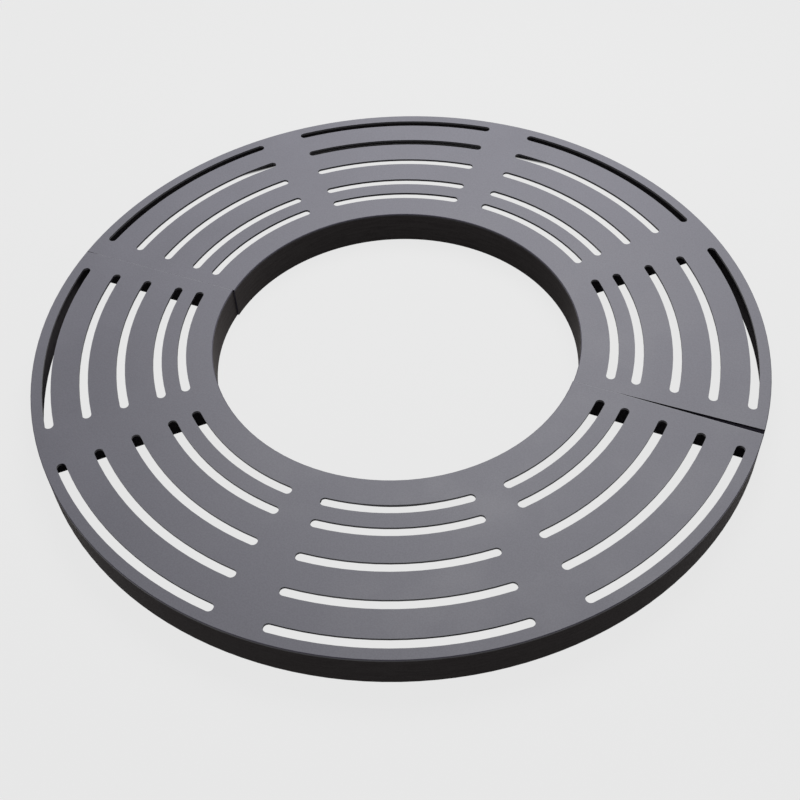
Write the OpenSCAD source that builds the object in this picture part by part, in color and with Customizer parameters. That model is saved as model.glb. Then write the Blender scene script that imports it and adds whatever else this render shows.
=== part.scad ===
// Round tree grate in two halves, fabricated from steel plate and flat bar.
// X runs along the joint between the halves, +Y towards the rear half, +Z up.
// The origin is the centre of the trunk opening, on the ground.

/* [Overall size] */
// Diameter over the outer rim
grate_d = 1200; // [1180:10:1400]
// Diameter of the opening round the trunk, in the rear half
opening_d = 604; // [540:4:620]
// Height of the walking surface above the ground
grate_h = 60; // [50:1:90]

/* [Joint between the halves] */
// Gap between the halves where they meet
joint_gap = 0.3; // [0.2:0.1:2]
// How much larger the radius of the opening is in the front half
front_extra = 0.8; // [0:0.2:2]
// How far the opening in the front half lies to the left of the one in the rear half
front_offset = 1.8; // [0:0.2:3]
// Radius at which both edges start to fall away on the right
wedge_r = 372; // [330:2:450]
// How far the rear half's edge has fallen away at the right-hand rim
rear_fall = 4.2; // [0:0.2:8]
// How far the front half's edge has fallen away there
front_fall = 4.8; // [0:0.2:8]
// Extra gap at the left-hand rim, where the front half's corner falls away
corner_gap = 1; // [0:0.2:3]
// Length of that corner along the joint
corner_run = 28; // [15:1:60]

/* [Slotted top plate] */
// Thickness of the top plate
plate_t = 4; // [4:0.5:8]
// Bevel that breaks the plate's edge along both rims
edge_break = 1; // [0.5:0.25:2]
// Width of every slot
slot_w = 13; // [8:0.5:16]
// From the rim to the middle of the outermost ring of slots
rim_inset = 25; // [22:1:35]
// Spacing of the outer rings of slots
ring_pitch = 60; // [50:1:62]
// Number of rings at that spacing
ring_count = 4; // [2:1:4]
// Spacing from those to the ring of slots nearest the trunk
inner_pitch = 40; // [25:1:45]
// Angle of solid plate left between the ends of the slots
spoke_deg = 7.8; // [5:0.2:12]

/* [Skirts, ribs and end plates] */
// Thickness of the rolled outer and inner skirts
skirt_t = 6; // [4:0.5:8]
// Thickness of the radial ribs
rib_t = 6; // [4:0.5:10]
// Thickness of the end plates on each side of the joint
end_plate_t = 6; // [5:0.5:10]
// Height of the lower edges of ribs and end plates above the ground
rib_lift = 0; // [0:1:12]

/* [Joint bolts] */
// Shank diameter of the joint bolts
bolt_d = 12; // [8:1:14]
// Shank length of the joint bolts
bolt_len = 40; // [36:1:60]
// Width across the flats of bolt heads and nuts
hex_af = 18; // [16:0.5:22]
// Height of a bolt head
head_h = 7.5; // [5:0.5:10]
// Height of a weld nut
nut_h = 10; // [8:0.5:12]
// Outer diameter of the washers
washer_d = 28; // [26:1:32]
// Thickness of the washers
washer_t = 2.5; // [1.5:0.5:4]
// Radial clearance of the shank in the washers and nuts
bolt_fit = 0.2; // [0.1:0.05:0.5]
// Radial clearance of the shank in the end plates
hole_fit = 1; // [0.5:0.25:2]
// Extra length of the holes in the front end plates, for adjusting on site
hole_slot = 8; // [6:1:12]
// From the rim to the outer bolt of each pair
bolt_inset = 48; // [44:1:60]
// Spacing of the two bolts of a pair
bolt_pitch = 120; // [60:5:170]
// From the walking surface down to the axes of the bolts
bolt_drop = 22; // [20:1:28]

/* [Hidden] */

// Facets drawn on the large circles and on the small ones
large_fn = 180;
small_fn = 48;
// Overshoot of cutting shapes past the faces they cut
cut = 1;

grate_r = grate_d / 2;
opening_r = opening_d / 2;
front_opening_r = opening_r + front_extra;
skirt_h = grate_h - plate_t;
rib_h = skirt_h - rib_lift;
// Radii of the skirt faces that the ribs and end plates of the rear half run between
bay_in = opening_r + skirt_t;
bay_out = grate_r - skirt_t;

// Each half has four sectors of slots, with a spoke between neighbours
sectors = 4;
sector_deg = 180 / sectors;
slot_deg = sector_deg - spoke_deg;
outer_rings = [for (i = [0 : ring_count - 1]) grate_r - rim_inset - i * ring_pitch];
ring_radii = concat(outer_rings, [outer_rings[ring_count - 1] - inner_pitch]);

// Distance of the halves' edges from the middle of the joint
edge_y = joint_gap / 2;

// The right-hand end plates lean away from each other with the edges that fall away
rear_rise = rear_fall * (bay_out - wedge_r) / (grate_r - wedge_r);
front_rise = front_fall * (bay_out - wedge_r) / (grate_r - wedge_r);
rear_lean = atan(rear_rise / (bay_out - bay_in));
front_lean = atan(front_rise / (bay_out - bay_in));

// Bolts along the joint, two on each side of the opening
bolt_z = grate_h - bolt_drop;
bolt_r = grate_r - bolt_inset;
bolt_places = [for (side = [-1, 1]) for (r = [bolt_r - bolt_pitch, bolt_r]) side * r];

// Face of the front end plates that a washer centred at x seats on; on the right that face
// leans, and the washer touches it with its outer edge
function seat_y(x) =
    x < 0 ? -edge_y - end_plate_t
    : -edge_y - (x + washer_d / 2 - bay_in) * tan(front_lean) - end_plate_t / cos(front_lean);
function head_y(x) = seat_y(x) - washer_t;

paint = "slategray";
zinc = "silver";

// Plan area of the rear half, with the edge that falls away on the right
module rear_area() {
    reach = grate_r + cut;
    fall = rear_fall * (reach - wedge_r) / (grate_r - wedge_r);
    polygon([
        [-reach, edge_y], [wedge_r, edge_y], [reach, edge_y + fall],
        [reach, reach], [-reach, reach]
    ]);
}

// Plan area of the front half, with the edge that falls away on the right and the corner on the left
module front_area() {
    reach = grate_r + cut;
    fall = front_fall * (reach - wedge_r) / (grate_r - wedge_r);
    corner_fall = corner_gap * (corner_run + cut) / corner_run;
    polygon([
        [-reach, -reach], [reach, -reach], [reach, -edge_y - fall], [wedge_r, -edge_y],
        [corner_run - grate_r, -edge_y], [-reach, -edge_y - corner_fall]
    ]);
}

// Keeps what lies inside a half's plan area, the first child
module keep_half() {
    intersection() {
        children(1);
        translate([0, 0, -cut]) linear_extrude(grate_h + 2 * cut) children(0);
    }
}

// Flat disc with a bevelled rim, and a bevelled opening of radius r about x; its underside is at z = 0
module plate_blank(r, x) {
    flat = plate_t - edge_break;
    difference() {
        union() {
            cylinder(h = flat, r = grate_r, $fn = large_fn);
            translate([0, 0, flat])
                cylinder(h = edge_break, r1 = grate_r, r2 = grate_r - edge_break, $fn = large_fn);
        }
        translate([x, 0, -cut]) cylinder(h = plate_t + 2 * cut, r = r, $fn = large_fn);
        translate([x, 0, flat])
            cylinder(h = edge_break, r1 = r, r2 = r + edge_break, $fn = large_fn);
    }
}

// Cutter for one slot: an arc of radius r with round ends, centred on +X
module arc_slot(r) {
    // The arc stops short, so that the round ends reach the sector's slot angle
    arc_deg = slot_deg - 2 * asin(slot_w / 2 / r);
    deep = plate_t + 2 * cut;
    translate([0, 0, -cut]) {
        rotate([0, 0, -arc_deg / 2])
            rotate_extrude(angle = arc_deg, $fn = large_fn)
                translate([r - slot_w / 2, 0]) square([slot_w, deep]);
        for (side = [-1, 1])
            rotate([0, 0, side * arc_deg / 2])
                translate([r, 0, 0]) cylinder(h = deep, d = slot_w, $fn = small_fn);
    }
}

// All the slots of a half, from azimuth 0 to 180
module slot_field() {
    for (s = [0 : sectors - 1])
        rotate([0, 0, (s + 0.5) * sector_deg])
            for (r = ring_radii) arc_slot(r);
}

module rear_top_plate() {
    color(paint) translate([0, 0, skirt_h])
        difference() {
            keep_half() { rear_area(); plate_blank(opening_r, 0); }
            slot_field();
        }
}

module front_top_plate() {
    color(paint) translate([0, 0, skirt_h])
        difference() {
            keep_half() { front_area(); plate_blank(front_opening_r, -front_offset); }
            rotate([0, 0, 180]) slot_field();
        }
}

// Full ring of flat bar on edge, between two radii
module skirt_ring(r_in, r_out) {
    difference() {
        cylinder(h = skirt_h, r = r_out, $fn = large_fn);
        translate([0, 0, -cut]) cylinder(h = skirt_h + 2 * cut, r = r_in, $fn = large_fn);
    }
}

module rear_outer_skirt() {
    color(paint) keep_half() { rear_area(); skirt_ring(bay_out, grate_r); }
}

module rear_inner_skirt() {
    color(paint) keep_half() { rear_area(); skirt_ring(opening_r, bay_in); }
}

module front_outer_skirt() {
    color(paint) keep_half() { front_area(); skirt_ring(bay_out, grate_r); }
}

module front_inner_skirt() {
    color(paint) keep_half() {
        front_area();
        translate([-front_offset, 0, 0]) skirt_ring(front_opening_r, front_opening_r + skirt_t);
    }
}

// Cuts pieces to the space between the outer skirt and an inner skirt of radius r about x
module cut_to_bay(r, x) {
    tall = grate_h + 2 * cut;
    intersection() {
        children();
        difference() {
            translate([0, 0, -cut]) cylinder(h = tall, r = bay_out, $fn = large_fn);
            translate([x, 0, -2 * cut]) cylinder(h = tall + 2 * cut, r = r + skirt_t, $fn = large_fn);
        }
    }
}

module cut_to_rear_bay() {
    cut_to_bay(opening_r, 0) children();
}

module cut_to_front_bay() {
    cut_to_bay(front_opening_r, -front_offset) children();
}

// Flat bar on edge along +X, long enough to be cut to a bay, its first face at y = 0
module radial_bar(t) {
    translate([opening_r, 0, rib_lift]) cube([grate_r - opening_r, t, rib_h]);
}

// Uncut rib at an azimuth
module rib(azimuth) {
    rotate([0, 0, azimuth]) translate([0, -rib_t / 2, 0]) radial_bar(rib_t);
}

module rear_left_rib() {
    color(paint) cut_to_rear_bay() rib(3 * sector_deg);
}

module rear_middle_rib() {
    color(paint) cut_to_rear_bay() rib(2 * sector_deg);
}

module rear_right_rib() {
    color(paint) cut_to_rear_bay() rib(sector_deg);
}

module front_left_rib() {
    color(paint) cut_to_front_bay() rib(-3 * sector_deg);
}

module front_middle_rib() {
    color(paint) cut_to_front_bay() rib(-2 * sector_deg);
}

module front_right_rib() {
    color(paint) cut_to_front_bay() rib(-sector_deg);
}

// Uncut end plate on the +X side, just behind the joint's edge
module end_plate_blank() {
    translate([0, edge_y, 0]) radial_bar(end_plate_t);
}

// Turns a piece back by an angle, about the inner end of the right-hand edge
module lean_back(angle) {
    translate([bay_in, edge_y, 0]) rotate([0, 0, angle]) translate([-bay_in, -edge_y, 0])
        children();
}

// Cutters for the round holes of the rear end plates
module round_holes() {
    for (x = bolt_places)
        translate([x, -cut, bolt_z]) rotate([-90, 0, 0])
            cylinder(h = rear_rise + end_plate_t + 3 * cut, r = bolt_d / 2 + hole_fit, $fn = small_fn);
}

// Cutters for the holes of the front end plates, drawn out along the joint
module slotted_holes() {
    hole_r = bolt_d / 2 + hole_fit;
    for (x = bolt_places)
        translate([x, cut, bolt_z]) rotate([90, 0, 0]) {
            deep = front_rise + end_plate_t + 3 * cut;
            for (side = [-1, 1])
                translate([side * hole_slot / 2, 0, 0]) cylinder(h = deep, r = hole_r, $fn = small_fn);
            translate([-hole_slot / 2, -hole_r, 0]) cube([hole_slot, 2 * hole_r, deep]);
        }
}

module rear_left_end_plate() {
    color(paint) difference() {
        cut_to_rear_bay() mirror([1, 0, 0]) end_plate_blank();
        round_holes();
    }
}

module rear_right_end_plate() {
    color(paint) difference() {
        cut_to_rear_bay() lean_back(rear_lean) end_plate_blank();
        round_holes();
    }
}

module front_left_end_plate() {
    color(paint) difference() {
        cut_to_front_bay() mirror([1, 0, 0]) mirror([0, 1, 0]) end_plate_blank();
        slotted_holes();
    }
}

module front_right_end_plate() {
    color(paint) difference() {
        cut_to_front_bay() mirror([0, 1, 0]) lean_back(front_lean) end_plate_blank();
        slotted_holes();
    }
}

// Regular six-sided prism of the bolt heads and nuts, along +Z
module hexagon(h) {
    cylinder(h = h, r = hex_af / 2 / cos(30), $fn = 6);
}

// Nut blank on the rear face of an end plate at x, its axis along the bolt
module nut_blank(x) {
    // On the right the plate's rear face lies further back, by the lean at x
    back = x > 0 ? (x - bay_in) * tan(rear_lean) + end_plate_t / cos(rear_lean) : end_plate_t;
    seat = hex_af * tan(rear_lean);
    translate([x, edge_y + back - seat, bolt_z]) rotate([-90, 0, 0]) hexagon(nut_h + seat);
}

// Space taken up by the rear end plates and all that lies before them
module before_rear_plates() {
    reach = grate_r + cut;
    translate([-reach, -cut, 0]) cube([reach, cut + edge_y + end_plate_t, grate_h]);
    lean_back(rear_lean)
        translate([0, edge_y + end_plate_t - reach, 0]) cube([reach, reach, grate_h]);
}

module weld_nuts() {
    color(zinc) difference() {
        for (x = bolt_places) nut_blank(x);
        before_rear_plates();
        for (x = bolt_places)
            translate([x, 0, bolt_z]) rotate([-90, 0, 0])
                cylinder(h = bolt_len + rear_rise, r = bolt_d / 2 + bolt_fit, $fn = small_fn);
    }
}

module joint_bolts() {
    color(zinc)
        for (x = bolt_places)
            translate([x, head_y(x), bolt_z]) rotate([-90, 0, 0]) {
                translate([0, 0, -head_h]) hexagon(head_h);
                cylinder(h = bolt_len, d = bolt_d, $fn = small_fn);
            }
}

module joint_washers() {
    color(zinc)
        for (x = bolt_places)
            translate([x, head_y(x), bolt_z]) rotate([-90, 0, 0])
                difference() {
                    cylinder(h = washer_t, d = washer_d, $fn = small_fn);
                    translate([0, 0, -cut])
                        cylinder(h = washer_t + 2 * cut, r = bolt_d / 2 + bolt_fit, $fn = small_fn);
                }
}

rear_top_plate();
rear_outer_skirt();
rear_inner_skirt();
rear_left_end_plate();
rear_right_end_plate();
rear_left_rib();
rear_middle_rib();
rear_right_rib();
weld_nuts();
front_top_plate();
front_outer_skirt();
front_inner_skirt();
front_left_end_plate();
front_right_end_plate();
front_left_rib();
front_middle_rib();
front_right_rib();
joint_bolts();
joint_washers();
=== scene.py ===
import math

import bmesh
import bpy
import numpy as np
from mathutils import Matrix


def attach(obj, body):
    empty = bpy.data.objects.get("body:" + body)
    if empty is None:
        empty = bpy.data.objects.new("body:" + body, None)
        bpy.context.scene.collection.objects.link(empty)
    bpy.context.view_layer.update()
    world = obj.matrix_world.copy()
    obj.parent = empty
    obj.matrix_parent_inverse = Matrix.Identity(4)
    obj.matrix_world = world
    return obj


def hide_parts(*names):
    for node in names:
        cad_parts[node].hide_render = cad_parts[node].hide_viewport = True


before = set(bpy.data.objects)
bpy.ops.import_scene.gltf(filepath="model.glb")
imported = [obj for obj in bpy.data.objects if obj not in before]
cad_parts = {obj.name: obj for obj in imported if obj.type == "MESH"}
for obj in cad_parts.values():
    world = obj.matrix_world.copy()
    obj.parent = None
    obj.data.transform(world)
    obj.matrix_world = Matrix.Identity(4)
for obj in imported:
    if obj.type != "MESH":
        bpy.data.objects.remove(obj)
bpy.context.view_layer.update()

scene = bpy.context.scene
print("frame loaded:", len(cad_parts), "CAD nodes")

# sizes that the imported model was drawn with, in metres, where cutWidth is the width of its slots;
# slotWidth is the width that the slots of the shown plates are opened out to
grate = dict(
    rimRadius=0.600, top=0.060, plate=0.004, skirt=0.006, rib=0.006, endPlate=0.006,
    openingRadius=dict(rear=0.302, front=0.3028), openingX=dict(rear=0.0, front=-0.0018),
    edge=0.00015, slotWidth=0.0144, cutWidth=0.013, spokeDegrees=7.8, sectorDegrees=45.0,
    rings=(0.575, 0.515, 0.455, 0.395, 0.355), leanDegrees=dict(rear=0.8192, front=0.9362),
    wedgeRadius=0.372, fall=dict(rear=0.0042, front=0.0048),
)
underside = grate["top"] - grate["plate"]
bayOut = grate["rimRadius"] - grate["skirt"]     # inner face of the outer skirt
sector = math.radians(grate["sectorDegrees"])
slotHalfAngle = math.radians((grate["sectorDegrees"] - grate["spokeDegrees"]) / 2)
tiny = 1e-6                                      # points closer than this are one point


def feed(tree, node, inputs):
    # links each named input to a socket, or sets it to a number, a vector or a colour
    for key, value in inputs.items():
        if isinstance(value, bpy.types.NodeSocket):
            tree.links.new(value, node.inputs[key])
        else:
            node.inputs[key].default_value = value


def put(tree, kind, inputs=None, **attributes):
    # one node, with its attributes set and its inputs set or linked
    new = tree.nodes.new(kind)
    for name, value in attributes.items():
        setattr(new, name, value)
    feed(tree, new, inputs or {})
    return new


def reckon(tree, operation, *values, clamp=False):
    # Math node on sockets or numbers, giving its output socket
    return put(tree, "ShaderNodeMath", dict(enumerate(values)), operation=operation,
               use_clamp=clamp).outputs[0]


def remap(tree, value, low, high, toLow=0.0, toHigh=1.0):
    # smooth step of a value from one range to another
    inputs = {"Value": value, "From Min": low, "From Max": high, "To Min": toLow, "To Max": toHigh}
    return put(tree, "ShaderNodeMapRange", inputs, interpolation_type="SMOOTHSTEP").outputs[0]


def weigh(tree, first, second, share):
    # first times share plus second times the rest
    return reckon(tree, "MULTIPLY_ADD", first, share, reckon(tree, "MULTIPLY", second, 1 - share))


def blendColours(tree, share, first, second):
    return put(tree, "ShaderNodeMix", {0: share, 6: first, 7: second}, data_type="RGBA").outputs[2]


def layOver(tree, base, mask, share, colour):
    # colour over base by the given share where mask is 1
    return blendColours(tree, reckon(tree, "MULTIPLY", mask, share), base, colour)


def noise(tree, where, scale, detail, roughness=0.5):
    inputs = {"Vector": where, "Scale": scale, "Detail": detail, "Roughness": roughness}
    return put(tree, "ShaderNodeTexNoise", inputs).outputs[0]


def objectPlace(tree):
    return put(tree, "ShaderNodeTexCoord").outputs["Object"]


def newGroup(name, inputs, outputs):
    # shader node group with named inputs and outputs; Vector is a vector, and the others are values
    tree = bpy.data.node_groups.new(name, "ShaderNodeTree")
    for side, labels in (("INPUT", inputs), ("OUTPUT", outputs)):
        for label in labels:
            kind = "NodeSocketVector" if label == "Vector" else "NodeSocketFloat"
            tree.interface.new_socket(label, in_out=side, socket_type=kind)
    given, made = tree.nodes.new("NodeGroupInput"), tree.nodes.new("NodeGroupOutput")
    return tree, given.outputs, made.inputs


spread = (0.3, 0.7)                                  # most of a noise lies between these
powder = dict(peel=(3.0, 0.55), speck=(1.0, 0.6), drift=(4.0, 0.5))   # detail and roughness


def makePowderCoat():
    # sprayed and baked powder: orange peel height, fine specks and slow drifts of tone
    tree, given, made = newGroup("powderCoat", ("Vector", "Peel Scale", "Speck Scale", "Drift Scale"),
                                 ("Height", "Speck", "Drift"))
    peel = noise(tree, given["Vector"], given["Peel Scale"], *powder["peel"])
    speck = noise(tree, given["Vector"], given["Speck Scale"], *powder["speck"])
    drift = noise(tree, given["Vector"], given["Drift Scale"], *powder["drift"])
    tree.links.new(peel, made["Height"])
    tree.links.new(remap(tree, speck, *spread), made["Speck"])
    tree.links.new(remap(tree, drift, *spread), made["Drift"])
    return tree


edgeWearAndHighlightPatches = dict(patchScale=55.0, patchDetail=3.0, patches=(0.38, 0.62))


def makeEdgeWearAndHighlight():
    # 1 on an edge and 0 at Width from it, broken up along the edge
    tree, given, made = newGroup("edgeWearAndHighlight", ("Vector", "Distance", "Width", "Break Up"), ("Mask",))
    near = remap(tree, reckon(tree, "ABSOLUTE", given["Distance"]), given["Width"], 0.0)
    patchy = remap(tree, noise(tree, given["Vector"], edgeWearAndHighlightPatches["patchScale"], edgeWearAndHighlightPatches["patchDetail"]),
                   *edgeWearAndHighlightPatches["patches"])
    lost = reckon(tree, "MULTIPLY", given["Break Up"], reckon(tree, "SUBTRACT", 1.0, patchy))
    kept = reckon(tree, "SUBTRACT", 1.0, lost)
    tree.links.new(reckon(tree, "MULTIPLY", near, kept, clamp=True), made["Mask"])
    return tree


def makeSlotDistance():
    # distance on the plate from the edge of the nearest slot of one ring: along the arc it is
    # |radius - ring| - half width, and past the arc's end the distance to the round end
    tree, given, made = newGroup("slotDistance", ("Radius", "Folded Angle", "Ring"), ("Distance",))
    half = grate["slotWidth"] / 2
    ring, radius = given["Ring"], given["Radius"]
    shy = reckon(tree, "ARCSINE", reckon(tree, "DIVIDE", half, ring))
    arcEnd = reckon(tree, "SUBTRACT", slotHalfAngle, shy)
    past = reckon(tree, "MAXIMUM", reckon(tree, "SUBTRACT", given["Folded Angle"], arcEnd), 0.0)
    across = reckon(tree, "ABSOLUTE", reckon(tree, "SUBTRACT", radius, ring))
    # chord between (radius, past) and (ring, 0), squared: across squared plus
    # 4 radius ring sin(past / 2) squared
    sine = reckon(tree, "SINE", reckon(tree, "MULTIPLY", past, 0.5))
    around = reckon(tree, "MULTIPLY", reckon(tree, "MULTIPLY", radius, ring),
                    reckon(tree, "MULTIPLY", reckon(tree, "MULTIPLY", sine, sine), 4.0))
    reach = reckon(tree, "SQRT", reckon(tree, "MULTIPLY_ADD", across, across, around))
    tree.links.new(reckon(tree, "SUBTRACT", reach, half), made["Distance"])
    return tree


powderCoat, edgeWearAndHighlight, slotDistance = makePowderCoat(), makeEdgeWearAndHighlight(), makeSlotDistance()


def groupNode(tree, group, inputs):
    return put(tree, "ShaderNodeGroup", inputs, node_tree=group).outputs


def coatNode(tree, where, look):
    # the powder coat at the scales of one look
    return groupNode(tree, powderCoat, {"Vector": where, "Peel Scale": look["peelScale"],
                                        "Speck Scale": look["speckScale"],
                                        "Drift Scale": look["driftScale"]})


def edgeWearAndHighlightMask(tree, where, distance, width, breakUp):
    return groupNode(tree, edgeWearAndHighlight, {"Vector": where, "Distance": distance, "Width": width,
                                     "Break Up": breakUp})["Mask"]


def emptyMaterial(name):
    material = bpy.data.materials.new(name)
    material.use_nodes = True
    material.node_tree.nodes.clear()
    return material, material.node_tree


def newMaterial(name):
    material, tree = emptyMaterial(name)
    shader = put(tree, "ShaderNodeBsdfPrincipled")
    put(tree, "ShaderNodeOutputMaterial", {"Surface": shader.outputs[0]})
    return material, tree, shader


def dress(tree, shader, look, base, rough, height):
    # what every coat and plating ends with: colour, roughness, gloss and bump
    bump = put(tree, "ShaderNodeBump", {"Strength": look["bump"], "Distance": look["bumpDepth"],
                                        "Height": height})
    feed(tree, shader, {"Base Color": base, "Roughness": rough, "Normal": bump.outputs[0],
                        "Specular IOR Level": look["specular"]})


def flatRadius(tree, where, x=0.0):
    # distance in plan from the upright axis through x, with the X and Y that it is worked out from
    moved = put(tree, "ShaderNodeMapping", {"Vector": where, "Location": (-x, 0, 0)}).outputs[0]
    flat = put(tree, "ShaderNodeSeparateXYZ", {0: moved}).outputs
    squares = reckon(tree, "MULTIPLY_ADD", flat["X"], flat["X"],
                     reckon(tree, "MULTIPLY", flat["Y"], flat["Y"]))
    return reckon(tree, "SQRT", squares), flat["X"], flat["Y"]


def facing(tree):
    # the X, Y and Z of the face's own normal
    normal = put(tree, "ShaderNodeNewGeometry").outputs["True Normal"]
    return put(tree, "ShaderNodeSeparateXYZ", {0: normal}).outputs


def steepShare(tree, level, steep):
    # 0 on faces whose normals rise by level or more, and 1 where they rise by steep or less
    return remap(tree, reckon(tree, "ABSOLUTE", facing(tree)["Z"]), level, steep)


plateLook = dict(
    dark=(0.128, 0.126, 0.150, 1), light=(0.160, 0.158, 0.186, 1), speckShare=0.55,
    # edges: worn, with a painted highlight on the rim, the trunk opening and the slots
    rubAndHighlight=(0.30, 0.30, 0.33, 1), rubAndHighlightWidth=0.0011, rubAndHighlightShare=0.10, rubAndHighlightBreakUp=0.6,
    # joint: a painted highlight along the half's edge, stronger on the front half
    seamHighlightWidth=0.0016, seamHighlightShare=dict(rear=0.25, front=0.75), seamHighlightBreakUp=0.35,
    # painted shade: a dark violet colour on the sloping bevels
    bevelShade=(0.040, 0.032, 0.060, 1), bevelShadeShare=0.75, bevelRise=(0.95, 0.8),
    # painted shade: near black on the upright cut walls
    cut=(0.008, 0.006, 0.012, 1), cutShare=1.0, cutRise=(0.5, 0.2),
    peelScale=900.0, speckScale=420.0, driftScale=7.0, bump=0.22, bumpDepth=0.0004,
    roughness=(0.44, 0.52), specular=0.35,
)


def plateEdgeDistance(tree, where, half, radius, flatX, flatY):
    # distance from the nearest of the rim, the trunk opening and the slots, whose angle is
    # folded so that every sector runs from its middle to its ends
    fromTrunk = flatRadius(tree, where, grate["openingX"][half])[0]
    turned = reckon(tree, "FLOORED_MODULO", reckon(tree, "ARCTAN2", flatY, flatX), sector)
    folded = reckon(tree, "ABSOLUTE", reckon(tree, "SUBTRACT", turned, sector / 2))
    nearest = reckon(tree, "MINIMUM", reckon(tree, "SUBTRACT", grate["rimRadius"], radius),
                     reckon(tree, "SUBTRACT", fromTrunk, grate["openingRadius"][half]))
    for ring in grate["rings"]:
        away = groupNode(tree, slotDistance, {"Radius": radius, "Folded Angle": folded, "Ring": ring})
        nearest = reckon(tree, "MINIMUM", nearest, away["Distance"])
    return nearest


def seamDistance(tree, half, flatX, flatY):
    # distance from the half's edge, which runs along Y = 0 and falls away past the wedge's radius
    # on the right
    slope = grate["fall"][half] / (grate["rimRadius"] - grate["wedgeRadius"])
    past = reckon(tree, "MAXIMUM", reckon(tree, "SUBTRACT", flatX, grate["wedgeRadius"]), 0.0)
    fallen = reckon(tree, "MULTIPLY", past, slope if half == "rear" else -slope)
    return reckon(tree, "SUBTRACT", flatY, fallen)


def makePlateCoat(half):
    # slate powder coat on the slotted plate: worn edges with a painted highlight, a painted
    # highlight along the joint, painted shade on the bevels, and near black painted shade on the cut
    # walls
    look = plateLook
    material, tree, shader = newMaterial("coatedPlate" + half.capitalize())
    where = objectPlace(tree)
    radius, flatX, flatY = flatRadius(tree, where)
    coat = coatNode(tree, where, look)
    rubAndHighlight = edgeWearAndHighlightMask(tree, where, plateEdgeDistance(tree, where, half, radius, flatX, flatY),
                  look["rubAndHighlightWidth"], look["rubAndHighlightBreakUp"])
    seamHighlight = edgeWearAndHighlightMask(tree, where, seamDistance(tree, half, flatX, flatY), look["seamHighlightWidth"],
                   look["seamHighlightBreakUp"])
    base = blendColours(tree, weigh(tree, coat["Speck"], coat["Drift"], look["speckShare"]),
                        look["dark"], look["light"])
    # worn edges with a painted highlight, then a painted highlight along the joint
    base = layOver(tree, base, rubAndHighlight, look["rubAndHighlightShare"], look["rubAndHighlight"])
    base = layOver(tree, base, seamHighlight, look["seamHighlightShare"][half], look["rubAndHighlight"])
    # painted shade by how steep a face is: darker bevels and near black cut walls
    shadedBevels, shadedCutWalls = steepShare(tree, *look["bevelRise"]), steepShare(tree, *look["cutRise"])
    base = layOver(tree, base, shadedBevels, look["bevelShadeShare"], look["bevelShade"])
    base = layOver(tree, base, shadedCutWalls, look["cutShare"], look["cut"])
    dress(tree, shader, look, base, remap(tree, coat["Drift"], 0.0, 1.0, *look["roughness"]),
          coat["Height"])
    return material


barLook = dict(
    dark=(0.098, 0.087, 0.086, 1), light=(0.145, 0.132, 0.130, 1), speckShare=0.4,
    streakScale=26.0, streakDetail=4.0, streakSqueeze=9, streaks=(0.32, 0.68),
    scuff=(0.15, 0.145, 0.145, 1), scuffHeight=0.003, scuffShare=0.35, scuffBreakUp=0.9,
    inside=(0.115, 0.106, 0.114, 1), insideShare=0.97, insideRough=0.36, wall=0.0015,
    # painted light: a lighter, violet colour on the faces that meet at the joint
    joint=(0.145, 0.134, 0.172, 1), jointDepth=0.012, jointFacing=-0.5,
    peelScale=800.0, speckScale=380.0, driftScale=11.0, bump=0.25, bumpDepth=0.0004,
    roughness=(0.50, 0.62), specular=0.008,
)


def makeBarCoat():
    # the same coat on the rolled bars, streaked along them, scuffed along the edge that stands
    # on the ground, rougher and more even in tone between the skirts, with painted light at the joint
    look = barLook
    material, tree, shader = newMaterial("coatedBar")
    where = objectPlace(tree)
    place = put(tree, "ShaderNodeSeparateXYZ", {0: where}).outputs
    squeezed = put(tree, "ShaderNodeMapping", {"Vector": where,
                                               "Scale": (1, 1, look["streakSqueeze"])}).outputs[0]
    streak = noise(tree, squeezed, look["streakScale"], look["streakDetail"])
    coat = coatNode(tree, where, look)
    scuff = edgeWearAndHighlightMask(tree, where, place["Z"], look["scuffHeight"], look["scuffBreakUp"])
    tone = weigh(tree, coat["Speck"], remap(tree, streak, *look["streaks"]), look["speckShare"])
    base = blendColours(tree, tone, look["dark"], look["light"])
    radius = flatRadius(tree, where)[0]
    inner = grate["openingRadius"]["front"] + 2 * look["wall"]
    between = reckon(tree, "MULTIPLY",
                     reckon(tree, "LESS_THAN", radius, grate["rimRadius"] - look["wall"]),
                     reckon(tree, "GREATER_THAN", radius, inner))
    base = layOver(tree, base, between, look["insideShare"], look["inside"])
    # painted light: faces that meet at the joint, looking across Y = 0 from close by, are lighter
    across = reckon(tree, "MULTIPLY", facing(tree)["Y"], reckon(tree, "SIGN", place["Y"]))
    close = reckon(tree, "LESS_THAN", reckon(tree, "ABSOLUTE", place["Y"]), look["jointDepth"])
    jointLight = reckon(tree, "MULTIPLY", reckon(tree, "LESS_THAN", across, look["jointFacing"]), close)
    base = blendColours(tree, jointLight, base, look["joint"])
    base = layOver(tree, base, scuff, look["scuffShare"], look["scuff"])
    rough = reckon(tree, "MULTIPLY_ADD", between, look["insideRough"],
                   remap(tree, streak, *spread, *look["roughness"]))
    dress(tree, shader, look, base, rough, coat["Height"])
    return material


zincLook = dict(dark=(0.40, 0.41, 0.43, 1), light=(0.62, 0.63, 0.65, 1), patchScale=260.0,
                patchShare=0.35, stainScale=60.0, stainDetail=5.0, bump=0.3, bumpDepth=0.0002,
                roughness=(0.34, 0.55), specular=0.5)


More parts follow.
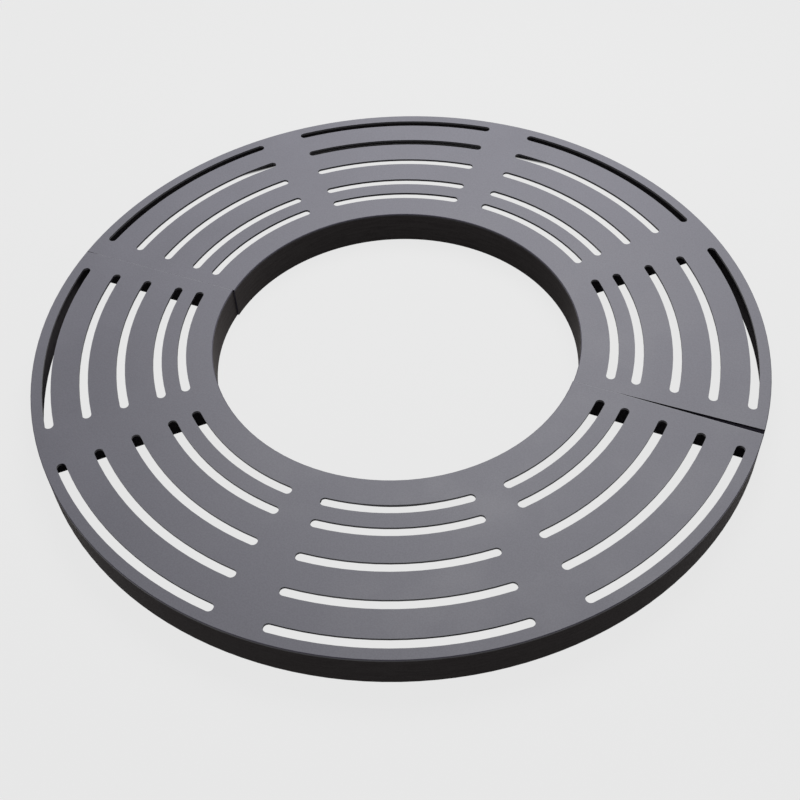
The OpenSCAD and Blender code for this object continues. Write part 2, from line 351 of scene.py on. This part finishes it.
def makeZinc():
    # dull zinc plating with a soft patchwork and slight stains
    look = zincLook
    material, tree, shader = newMaterial("zincFasteners")
    where = objectPlace(tree)
    patch = put(tree, "ShaderNodeTexVoronoi", {"Vector": where, "Scale": look["patchScale"]})
    stain = noise(tree, where, look["stainScale"], look["stainDetail"])
    tone = weigh(tree, patch.outputs["Color"], remap(tree, stain, *spread), look["patchShare"])
    base = blendColours(tree, tone, look["dark"], look["light"])
    shader.inputs["Metallic"].default_value = 1.0
    dress(tree, shader, look, base, remap(tree, stain, *spread, *look["roughness"]), stain)
    return material


beadLook = dict(dark=(0.022, 0.021, 0.022, 1), light=(0.045, 0.042, 0.044, 1), peelScale=700.0,
                speckScale=300.0, driftScale=30.0, bump=0.3, bumpDepth=0.0003,
                roughness=(0.38, 0.50), specular=0.2)


def makeBeadCoat():
    # coat over a weld bead, which fills its ripples and shines a little more
    look = beadLook
    material, tree, shader = newMaterial("coatedWeld")
    coat = coatNode(tree, objectPlace(tree), look)
    base = blendColours(tree, coat["Drift"], look["dark"], look["light"])
    dress(tree, shader, look, base, remap(tree, coat["Speck"], 0.0, 1.0, *look["roughness"]),
          coat["Height"])
    return material


rearCoat, frontCoat = makePlateCoat("rear"), makePlateCoat("front")
barCoat, zinc, beadCoat = makeBarCoat(), makeZinc(), makeBeadCoat()

for name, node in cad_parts.items():
    node.data.materials.clear()
    if name.endswith("top_plate"):
        node.data.materials.append(rearCoat if name.startswith("rear") else frontCoat)
    elif name in ("weld_nuts", "joint_bolts", "joint_washers"):
        node.data.materials.append(zinc)
    else:
        node.data.materials.append(barCoat)
print("materials made:", len(bpy.data.materials))


widening = dict(onWall=0.0001, sharpDegrees=30)      # onWall: how near a slot's wall a point lies


def widePlate(half):
    # copy of a slotted plate with its slots opened out: each point of a slot's wall goes out along
    # its line from the nearest point of the slot's middle arc, by the ratio of the two widths
    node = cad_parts[half + "_top_plate"]
    mesh = node.data.copy()
    mesh.name = half + "SlottedPlate"
    solid = bmesh.new()
    solid.from_mesh(mesh)
    bmesh.ops.remove_doubles(solid, verts=solid.verts, dist=tiny)
    solid.to_mesh(mesh)
    solid.free()
    mesh.attributes.remove(mesh.attributes["custom_normal"])
    points = np.empty(len(mesh.vertices) * 3)
    mesh.vertices.foreach_get("co", points)
    points = points.reshape(-1, 3)
    halfCut = grate["cutWidth"] / 2
    turn = np.arctan2(points[:, 1], points[:, 0])
    middle = (np.floor(turn / sector) + 0.5) * sector
    moved = 0
    for ring in grate["rings"]:
        reach = slotHalfAngle - math.asin(halfCut / ring)
        near = middle + np.clip(turn - middle, -reach, reach)
        foot = ring * np.stack([np.cos(near), np.sin(near)], -1)
        away = points[:, :2] - foot
        onWall = np.abs(np.hypot(away[:, 0], away[:, 1]) - halfCut) < widening["onWall"]
        points[onWall, :2] = foot[onWall] + away[onWall] * grate["slotWidth"] / grate["cutWidth"]
        moved += onWall.sum()
    mesh.vertices.foreach_set("co", points.ravel())
    mesh.update()
    mesh.shade_smooth()
    mesh.set_sharp_from_angle(angle=math.radians(widening["sharpDegrees"]))
    piece = bpy.data.objects.new(half + "SlottedPlate", mesh)
    scene.collection.objects.link(piece)
    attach(piece, half + "_half")
    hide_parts(half + "_top_plate")
    print(half, "slotted plate:", moved, "points of", len(points), "moved")


for half in ("rear", "front"):
    widePlate(half)


def finishPiece(name, points, faces, material, body, sharpDegrees):
    # mesh object at the origin from arrays of points and of faces with three or four corners
    mesh = bpy.data.meshes.new(name)
    corners = [row for group in faces for row in group.tolist()]
    mesh.from_pydata(points.reshape(-1, 3).tolist(), [], corners)
    mesh.validate()
    mesh.shade_smooth()
    mesh.set_sharp_from_angle(angle=math.radians(sharpDegrees))
    mesh.materials.append(material)
    piece = bpy.data.objects.new(name, mesh)
    scene.collection.objects.link(piece)
    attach(piece, body)
    return piece


def tubeFaces(count, rows, around, poles):
    # quads between neighbouring rows of each of count tubes, and triangles to two poles each;
    # a tube's points come row by row, then its first and last pole; without poles it is a ring
    # whose last row joins its first
    size = rows * around + (2 if poles else 0)
    start = (np.arange(count) * size)[:, None, None]
    row = (np.arange(rows - 1 if poles else rows) * around)[None, :, None]
    following = row + around if poles else (row + around) % (rows * around)
    here = np.arange(around)[None, None, :]
    turn = (here + 1) % around
    quads = np.stack([start + row + here, start + row + turn, start + following + turn,
                      start + following + here], -1).reshape(-1, 4)
    if not poles:
        return [quads]
    last = (rows - 1) * around
    first = start[:, 0] + rows * around
    here, turn = here[0], turn[0]
    low = np.stack([start[:, 0] + turn, start[:, 0] + here, first + 0 * here], -1)
    high = np.stack([start[:, 0] + last + here, start[:, 0] + last + turn, first + 1 + 0 * here], -1)
    return [quads, low.reshape(-1, 3), high.reshape(-1, 3)]


weld = dict(
    leg=0.0042, ripplePitch=0.0024, rippleDepth=0.07, crescent=1.8, roundness=0.8, endShare=0.16,
    buried=0.0004, rows=34, arc=8, sharpDegrees=50, stitch=0.045, uprightFrom=0.002,
    uprightBelow=0.004, ribHeadings=(45, 90, 135), ribStitches=((0.345, 0.450, 0.550), (0.398, 0.500)),
    endStitches=(0.350, 0.455, 0.560), rimDegrees=(11, 34, 56, 79, 101, 124, 146, 169),
    trunkDegrees=(22.5, 67.5, 112.5, 157.5),
)


def beadPoints(path, away, down):
    # a bead along path, in the corner between the unit directions away and down:
    # point(s, t) = path(s) + leg(s, t) (away cos t + down sin t) / (cos t + sin t) ^ roundness,
    # where leg falls to nothing over the rounded ends and rises and falls along s with the ripples
    count, rows = path.shape[:2]
    share = np.linspace(0, 1, rows + 2)[1:-1]
    length = np.linalg.norm(np.diff(path, axis=1), axis=2).sum(1)[:, None, None]
    turn = np.linspace(0, math.pi / 2, weld["arc"])[None, None, :]
    over = (np.abs(2 * share - 1) - 1 + 2 * weld["endShare"]) / (2 * weld["endShare"])
    taper = np.sqrt(1 - np.clip(over, 0, 1) ** 2)[None, :, None]
    phase = 2 * math.pi * share[None, :, None] * length / weld["ripplePitch"]
    bowed = phase + weld["crescent"] * np.cos(2 * turn - math.pi / 2)
    ripple = 1 + weld["rippleDepth"] * np.sin(bowed)
    leg = weld["leg"] * taper * ripple / (np.cos(turn) + np.sin(turn)) ** weld["roundness"]
    skin = (path[:, :, None] + leg[..., None] * (away[:, :, None] * np.cos(turn)[..., None]
                                                 + down[:, :, None] * np.sin(turn)[..., None]))
    root = path - weld["buried"] * (away + down)
    ring = np.concatenate([skin, root[:, :, None]], 2).reshape(count, -1, 3)
    return np.concatenate([ring, root[:, [0, -1]]], 1)


def polar(radius, degrees):
    # point on the ground at a radius and an angle: (radius cos, radius sin, 0)
    turn = np.radians(degrees)
    return np.stack([radius * np.cos(turn), radius * np.sin(turn), 0 * turn * radius], -1)


def beadLines(half, sign):
    # straight and curved corner lines of one half: start + share (end - start), or a circle's
    # point at a heading; sign is +1 for the rear half and -1 for the front
    share = np.linspace(0, 1, weld["rows"])
    trunkX, bayIn = grate["openingX"][half], grate["openingRadius"][half] + grate["skirt"]
    up = np.array([0.0, 0.0, 1.0])
    reach = weld["stitch"] / 2
    lines = []

    def straight(start, end, away, down):
        path = start + (end - start) * share[:, None]
        lines.append((path, np.tile(away, (weld["rows"], 1)), np.tile(down, (weld["rows"], 1))))

    def barWelds(heading, side, offset, centres):
        # stitches under the plate and upright beads at both skirts, on one side of a radial bar
        along = polar(1.0, heading)
        across = side * polar(1.0, heading + 90)
        foot = across * offset
        for centre in centres:
            ends = [foot + along * (centre + k * reach) + up * underside for k in (-1, 1)]
            straight(ends[0], ends[1], across, -up)
        low, high = up * weld["uprightFrom"], up * (underside - weld["uprightBelow"])
        # where the bar's face, a line through foot, leaves the inner skirt and meets the outer one
        fromTrunk = along[0] * (foot[0] - trunkX) + along[1] * foot[1]
        gap = (foot[0] - trunkX) ** 2 + foot[1] ** 2 - bayIn ** 2
        inner = foot + along * (math.sqrt(fromTrunk ** 2 - gap) - fromTrunk)
        outer = foot + along * math.sqrt(bayOut ** 2 - offset ** 2)
        straight(inner + low, inner + high, across, along)
        straight(outer + low, outer + high, across, -along)

    for heading in weld["ribHeadings"]:
        for side, centres in zip((1, -1), weld["ribStitches"]):
            barWelds(sign * heading, side, grate["rib"] / 2, centres)
    inside = grate["edge"] + grate["endPlate"]
    barWelds(180.0, -sign, inside, weld["endStitches"])
    barWelds(0.0, sign, inside, weld["endStitches"])
    for radius, x, out, headings in ((bayOut, 0.0, -1, weld["rimDegrees"]),
                                     (bayIn, trunkX, 1, weld["trunkDegrees"])):
        for heading in headings:
            swept = sign * heading + np.degrees(reach / radius) * (2 * share - 1)
            path = polar(radius, swept) + up * underside + [x, 0, 0]
            lines.append((path, out * polar(1.0, swept), np.tile(-up, (weld["rows"], 1))))
    path, away, down = (np.stack(part) for part in zip(*lines))
    # the right end plate leans away from the joint, about the inner end of its edge
    pivot = np.array([grate["openingRadius"]["rear"] + grate["skirt"], sign * grate["edge"], 0.0])
    lean = sign * math.radians(grate["leanDegrees"][half])
    c, s = math.cos(lean), math.sin(lean)
    turned = np.array([[c, s, 0], [-s, c, 0], [0, 0, 1]])
    right = (path[:, 0, 0] > 0) & (np.abs(path[:, 0, 1] - sign * inside) < tiny)
    path[right] = (path[right] - pivot) @ turned + pivot
    away[right], down[right] = away[right] @ turned, down[right] @ turned
    # the order of the two legs is turned where the bead would be inside out
    forward = path[:, 1] - path[:, 0]
    inward = np.einsum("ij,ij->i", np.cross(away[:, 0], down[:, 0]), forward) > 0
    away[inward], down[inward] = down[inward].copy(), away[inward].copy()
    return path, away, down


for half, sign in (("rear", 1), ("front", -1)):
    path, away, down = beadLines(half, sign)
    beads = finishPiece(half + "WeldBeads", beadPoints(path, away, down),
                        tubeFaces(len(path), weld["rows"], weld["arc"] + 1, True),
                        beadCoat, half + "_half", weld["sharpDegrees"])
    print(half, "weld beads:", len(path), "with", len(beads.data.polygons), "faces")


# what the bolts, nuts and washers of the joint have in common
fastener = dict(places=(-0.552, -0.432, 0.432, 0.552), centreZ=0.038, hole=0.0062,
                acrossFlats=0.018, faceShare=0.93, coneShare=0.95, coneDegrees=30, around=72,
                sharpDegrees=32)
places, hole = np.array(fastener["places"]), fastener["hole"]
turns = np.arange(fastener["around"]) * 2 * math.pi / fastener["around"]
flat = fastener["acrossFlats"] / 2
cone = fastener["coneShare"] * flat
hexRadius = flat / np.cos(np.mod(turns, math.pi / 3) - math.pi / 6)


def lathe(radius, height, centres):
    # points (radius cos, height, -radius sin) about each centre, which is an axis along +Y;
    # radius and height are arrays of rows by angles
    local = np.stack([radius * np.cos(turns), height, -radius * np.sin(turns)], -1)
    return centres[:, None, None] + local[None]


def centresAt(y):
    # the four centres, at y along their axes
    return np.stack([places, y, np.full(len(places), fastener["centreZ"])], -1)


def rowsOf(*pairs):
    # stacks (radius, height) rows, each a number or one value for each angle
    radius = np.stack([np.broadcast_to(r, turns.shape) for r, h in pairs])
    height = np.stack([np.broadcast_to(h, turns.shape) for r, h in pairs])
    return radius, height


def hexChamfer(height):
    # where a cone that starts at its share of the flats cuts the six corners:
    # height - (radius - start) tan(cone's angle)
    return height - (hexRadius - cone) * math.tan(math.radians(fastener["coneDegrees"]))


def faceY(half, x):
    # how far from the joint's middle the far face of a half's end plates lies at each x;
    # on the right, past 0, that face leans away from the joint
    lean = math.radians(grate["leanDegrees"][half])
    offset = x - grate["openingRadius"]["rear"] - grate["skirt"]
    leaning = offset * math.tan(lean) + grate["endPlate"] / math.cos(lean)
    return grate["edge"] + np.where(x > 0, leaning, grate["endPlate"])


washer = dict(thick=0.0025, radius=0.014, edge=0.0003)
# a washer touches the leaning face with its outer edge, and the bolt's head lies on the washer
headY = -faceY("front", places + washer["radius"]) - washer["thick"]


def makeWashers():
    # flat ring: a rectangle with small bevels, carried round each centre
    out, thick, edge = washer["radius"], washer["thick"], washer["edge"]
    radius, height = rowsOf((hole + edge, 0.0), (out - edge, 0.0), (out, edge), (out, thick - edge),
                            (out - edge, thick), (hole + edge, thick), (hole, thick - edge),
                            (hole, edge))
    return (lathe(radius, height, centresAt(headY)),
            tubeFaces(len(places), len(radius), fastener["around"], False))


bolt = dict(shank=0.006, length=0.040, headHeight=0.0075, fillet=0.0005, chamfer=0.0012,
            pitch=0.00175, threadDepth=0.00095, threadFrom=0.010, threadFlank=1.15, turnRows=8)


def makeBolts():
    # chamfered hexagon head and plain shank, then the thread, whose radius falls by a rounded V
    # that climbs one pitch each turn, shank - fade depth (1 - flank |2 wave - 1|), where fade grows
    # from 0 to 1 over the first two pitches, and last an end chamfer
    centres = centresAt(headY)
    top, shank, fillet = bolt["headHeight"], bolt["shank"], bolt["fillet"]
    radius, height = rowsOf((fastener["faceShare"] * flat, -top), (cone, -top),
                            (hexRadius, -hexChamfer(top)), (hexRadius, 0.0), (shank + fillet, 0.0),
                            (shank, fillet), (shank, bolt["threadFrom"] - fillet))
    rows = np.arange(bolt["threadFrom"], bolt["length"] - bolt["chamfer"],
                     bolt["pitch"] / bolt["turnRows"])[:, None]
    wave = np.mod(rows / bolt["pitch"] - turns[None] / (2 * math.pi), 1.0)
    groove = bolt["threadDepth"] * np.clip(1 - np.abs(2 * wave - 1) * bolt["threadFlank"], 0, 1)
    fade = np.clip((rows - bolt["threadFrom"]) / (2 * bolt["pitch"]), 0, 1)
    end, endHeight = rowsOf((shank - bolt["chamfer"], bolt["length"]))
    radius = np.concatenate([radius, shank - groove * fade, end])
    height = np.concatenate([height, np.broadcast_to(rows, groove.shape), endHeight])
    points = lathe(radius, height, centres).reshape(len(centres), -1, 3)
    poles = centres[:, None] + np.array([[0, -top, 0], [0, bolt["length"], 0]])[None]
    return (np.concatenate([points, poles], 1),
            tubeFaces(len(centres), len(radius), fastener["around"], True))


nut = dict(height=0.010, edge=0.0007)


def makeNuts():
    # chamfered hexagon ring, seated on the rear faces of the rear end plates; on the right those
    # faces lean back, and the nut's seat with them: y + slope (x - centre) (1 - height / nut's height)
    centres = centresAt(faceY("rear", places))
    tall, edge = nut["height"], nut["edge"]
    radius, height = rowsOf((hole + edge, 0.0), (cone, 0.0), (hexRadius, tall - hexChamfer(tall)),
                            (hexRadius, hexChamfer(tall)), (cone, tall), (hole + edge, tall),
                            (hole, tall - edge), (hole, edge))
    points = lathe(radius, height, centres)
    slope = math.tan(math.radians(grate["leanDegrees"]["rear"]))
    shear = np.where(places > 0, slope, 0.0)[:, None, None]
    share = 1 - height[None] / tall
    points[..., 1] += shear * (points[..., 0] - centres[:, None, None, 0]) * share
    return points, tubeFaces(len(places), len(radius), fastener["around"], False)


for name, node, body, maker in (("hexBolts", "joint_bolts", "front_half", makeBolts),
                                ("weldNuts", "weld_nuts", "rear_half", makeNuts),
                                ("wideWashers", "joint_washers", "front_half", makeWashers)):
    points, faces = maker()
    piece = finishPiece(name, points, faces, zinc, body, fastener["sharpDegrees"])
    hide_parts(node)
    print(name, "with", len(piece.data.polygons), "faces")


studio = dict(
    pale=0.8148, bounce=0.04, ambient=0.20, ambientTint=(0.98, 0.98, 1.0, 1),
    floorReach=40.0, floorDrop=0.0003, seenShade=0.045, shadeInner=0.75, shadeOuter=1.5,
    crescentShade=0.45, crescentCentre=(0.0749, -0.1854, 0.0), crescentRadius=(0.764, 0.772),
    crescentFrom=(0.578, 0.586),
    lampSize=2.2, lampHeight=2.3, lampWatts=87.0, lampBack=1.50, lampRight=0.46,
    elevation=48.787, azimuth=25.683, roll=4.012, aim=(-0.03144, -0.13469, 0.060),
    distance=1.8759, sensor=36.0, lens=53.546, shift=(0.02283, -0.00477), clip=(0.05, 200.0),
)


def grey(level):
    return (level, level, level, 1)


def mixShaders(tree, share, first, second):
    return put(tree, "ShaderNodeMixShader", {0: share, 1: first.outputs[0], 2: second.outputs[0]})


def seenDirectly(tree):
    # 1 for rays that show the background: from the camera, in a reflection or through glass
    light = put(tree, "ShaderNodeLightPath").outputs
    either = reckon(tree, "MAXIMUM", light["Is Camera Ray"], light["Is Glossy Ray"])
    return reckon(tree, "MAXIMUM", either, light["Is Transmission Ray"])


def floorMaterial():
    # pale where it is seen, with a soft share of real shade round the object, and dark as a
    # source of bounced light
    material, tree = emptyMaterial("paleFloor")
    glow = put(tree, "ShaderNodeEmission", {"Color": grey(studio["pale"]), "Strength": 1.0})
    matt, dim, shaded = (put(tree, "ShaderNodeBsdfDiffuse", {"Color": grey(studio[name])})
                         for name in ("pale", "bounce", "crescentShade"))
    where = objectPlace(tree)
    away = put(tree, "ShaderNodeVectorMath", {0: where}, operation="LENGTH").outputs["Value"]
    share = remap(tree, away, studio["shadeInner"], studio["shadeOuter"], studio["seenShade"], 0.0)
    seen = mixShaders(tree, share, glow, matt)
    # darker in a narrow crescent close inside the rear skirt: out to the skirt's middle, and
    # outside a circle whose centre lies to the front
    outside = put(tree, "ShaderNodeVectorMath", {0: where, 1: studio["crescentCentre"]},
                  operation="DISTANCE").outputs["Value"]
    near = reckon(tree, "MULTIPLY", remap(tree, away, *studio["crescentFrom"]),
                  reckon(tree, "LESS_THAN", away, bayOut + grate["skirt"] / 2))
    crescent = reckon(tree, "MULTIPLY", remap(tree, outside, *studio["crescentRadius"]), near)
    seen = mixShaders(tree, crescent, seen, shaded)
    both = mixShaders(tree, seenDirectly(tree), dim, seen)
    put(tree, "ShaderNodeOutputMaterial", {"Surface": both.outputs[0]})
    return material


def makeFloor():
    reach, low = studio["floorReach"], -studio["floorDrop"]
    mesh = bpy.data.meshes.new("floor")
    corners = [(x * reach, y * reach, low) for x, y in ((-1, -1), (1, -1), (1, 1), (-1, 1))]
    mesh.from_pydata(corners, [], [(0, 1, 2, 3)])
    mesh.materials.append(floorMaterial())
    floor = bpy.data.objects.new("floor", mesh)
    scene.collection.objects.link(floor)


def makeWorld():
    # the floor's own pale colour where it is seen, and a dim even light on the object
    world = bpy.data.worlds.new("paleRoom")
    world.use_nodes = True
    scene.world = world
    tree = world.node_tree
    tree.nodes.clear()
    seen = put(tree, "ShaderNodeBackground", {"Color": grey(studio["pale"]), "Strength": 1.0})
    dim = put(tree, "ShaderNodeBackground", {"Color": studio["ambientTint"],
                                             "Strength": studio["ambient"]})
    both = mixShaders(tree, seenDirectly(tree), dim, seen)
    put(tree, "ShaderNodeOutputWorld", {"Surface": both.outputs[0]})


def makeLamp():
    # one wide soft lamp overhead, a little behind and to the right as the camera sees it
    data = bpy.data.lights.new("overheadLamp", "AREA")
    data.shape = "DISK"
    data.size = studio["lampSize"]
    data.energy = studio["lampWatts"]
    lamp = bpy.data.objects.new("overheadLamp", data)
    turn = math.radians(studio["azimuth"])
    right, back = studio["lampRight"], studio["lampBack"]
    lamp.location = (right * math.cos(turn) - back * math.sin(turn),
                     right * math.sin(turn) + back * math.cos(turn), studio["lampHeight"])
    scene.collection.objects.link(lamp)


def makeCamera():
    # fitted to the rims and the rings of slots in the photograph
    data = bpy.data.cameras.new("camera")
    data.sensor_fit = "HORIZONTAL"
    data.sensor_width = studio["sensor"]
    data.lens = studio["lens"]
    data.shift_x, data.shift_y = studio["shift"]
    data.clip_start, data.clip_end = studio["clip"]
    camera = bpy.data.objects.new("camera", data)
    rise = math.radians(studio["elevation"])
    spin = Matrix.Rotation(math.radians(studio["azimuth"]), 4, "Z")
    tilt = Matrix.Rotation(math.pi / 2 - rise, 4, "X")
    roll = Matrix.Rotation(-math.radians(studio["roll"]), 4, "Z")
    x, y, z = studio["aim"]
    back = studio["distance"]
    place = Matrix.Translation((x, y - back * math.cos(rise), z + back * math.sin(rise)))
    camera.matrix_world = spin @ place @ tilt @ roll
    scene.collection.objects.link(camera)
    scene.camera = camera


makeFloor()
makeWorld()
makeLamp()
makeCamera()
scene.view_settings.view_transform = "Standard"
print("floor, light and camera set")
